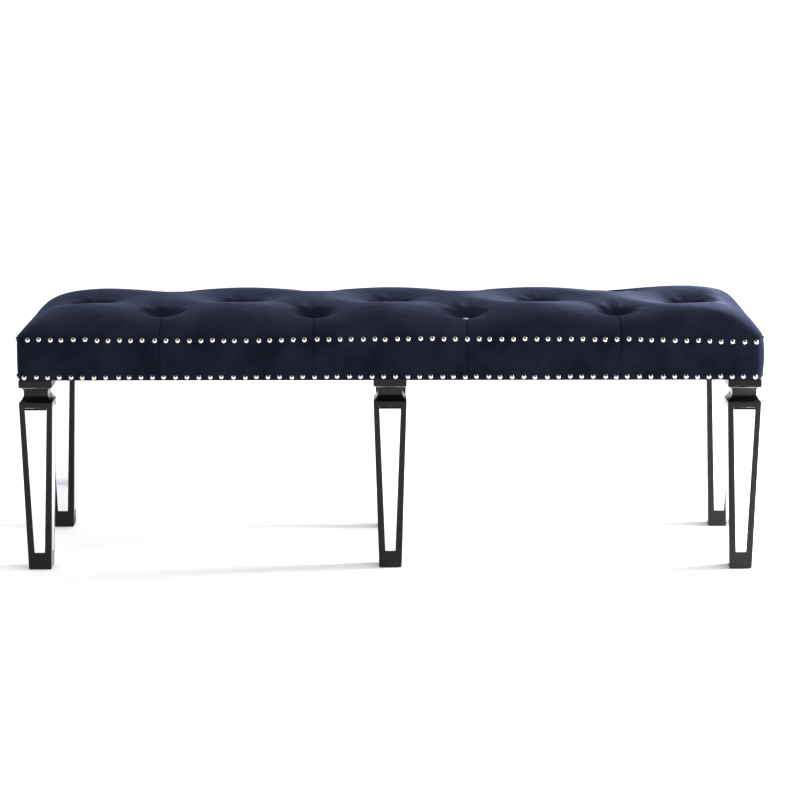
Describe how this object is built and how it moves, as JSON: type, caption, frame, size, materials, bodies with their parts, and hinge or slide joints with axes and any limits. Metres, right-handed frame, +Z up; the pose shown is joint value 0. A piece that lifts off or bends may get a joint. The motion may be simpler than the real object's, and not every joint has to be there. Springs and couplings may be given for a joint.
{
  "type": "upholstered bench",
  "caption": "Long backless bench: diamond-tufted velvet seat with nail trim on tapered black legs with let-in mirror panels.",
  "frame": {"origin": "centre of the bench's plan, on the floor", "axes": "+X along the bench to the right as seen from the front, +Y from front to rear, +Z up"},
  "size_m": [1.4158, 0.4158, 0.505],
  "materials": {
    "frame_wood": "matte",
    "plywood": "matte",
    "foam": "matte",
    "velvet": "matte",
    "button_metal": "polished",
    "twine": "matte",
    "toggle_wood": "matte",
    "nail_metal": "polished",
    "cambric": "matte",
    "black_lacquer": "gloss",
    "mirror_glass": "polished",
    "steel": "satin"
  },
  "bodies": {
    "root": {"front_rail": "frame_wood", "rear_rail": "frame_wood", "left_end_rail": "frame_wood", "right_end_rail": "frame_wood", "left_cross_rail": "frame_wood", "right_cross_rail": "frame_wood", "front_left_corner_block": "frame_wood", "front_right_corner_block": "frame_wood", "rear_left_corner_block": "frame_wood", "rear_right_corner_block": "frame_wood", "front_middle_block": "frame_wood", "rear_middle_block": "frame_wood", "seat_deck": "plywood", "foam_pad": "foam", "velvet_cover": "velvet", "tuft_buttons": "button_metal", "tuft_twines": "twine", "twine_toggles": "toggle_wood", "front_upper_nails": "nail_metal", "rear_upper_nails": "nail_metal", "left_upper_nails": "nail_metal", "right_upper_nails": "nail_metal", "front_lower_nails": "nail_metal", "rear_lower_nails": "nail_metal", "left_lower_nails": "nail_metal", "right_lower_nails": "nail_metal", "dust_cover": "cambric", "front_left_leg": "black_lacquer", "front_middle_leg": "black_lacquer", "front_right_leg": "black_lacquer", "rear_left_leg": "black_lacquer", "rear_middle_leg": "black_lacquer", "rear_right_leg": "black_lacquer", "front_left_leg_front_mirror": "mirror_glass", "front_left_leg_right_mirror": "mirror_glass", "front_left_leg_rear_mirror": "mirror_glass", "front_left_leg_left_mirror": "mirror_glass", "front_middle_leg_front_mirror": "mirror_glass", "front_middle_leg_right_mirror": "mirror_glass", "front_middle_leg_rear_mirror": "mirror_glass", "front_middle_leg_left_mirror": "mirror_glass", "front_right_leg_front_mirror": "mirror_glass", "front_right_leg_right_mirror": "mirror_glass", "front_right_leg_rear_mirror": "mirror_glass", "front_right_leg_left_mirror": "mirror_glass", "rear_left_leg_front_mirror": "mirror_glass", "rear_left_leg_right_mirror": "mirror_glass", "rear_left_leg_rear_mirror": "mirror_glass", "rear_left_leg_left_mirror": "mirror_glass", "rear_middle_leg_front_mirror": "mirror_glass", "rear_middle_leg_right_mirror": "mirror_glass", "rear_middle_leg_rear_mirror": "mirror_glass", "rear_middle_leg_left_mirror": "mirror_glass", "rear_right_leg_front_mirror": "mirror_glass", "rear_right_leg_right_mirror": "mirror_glass", "rear_right_leg_rear_mirror": "mirror_glass", "rear_right_leg_left_mirror": "mirror_glass", "leg_bolts": "steel", "leg_nuts": "steel"}
  },
  "joints": []
}
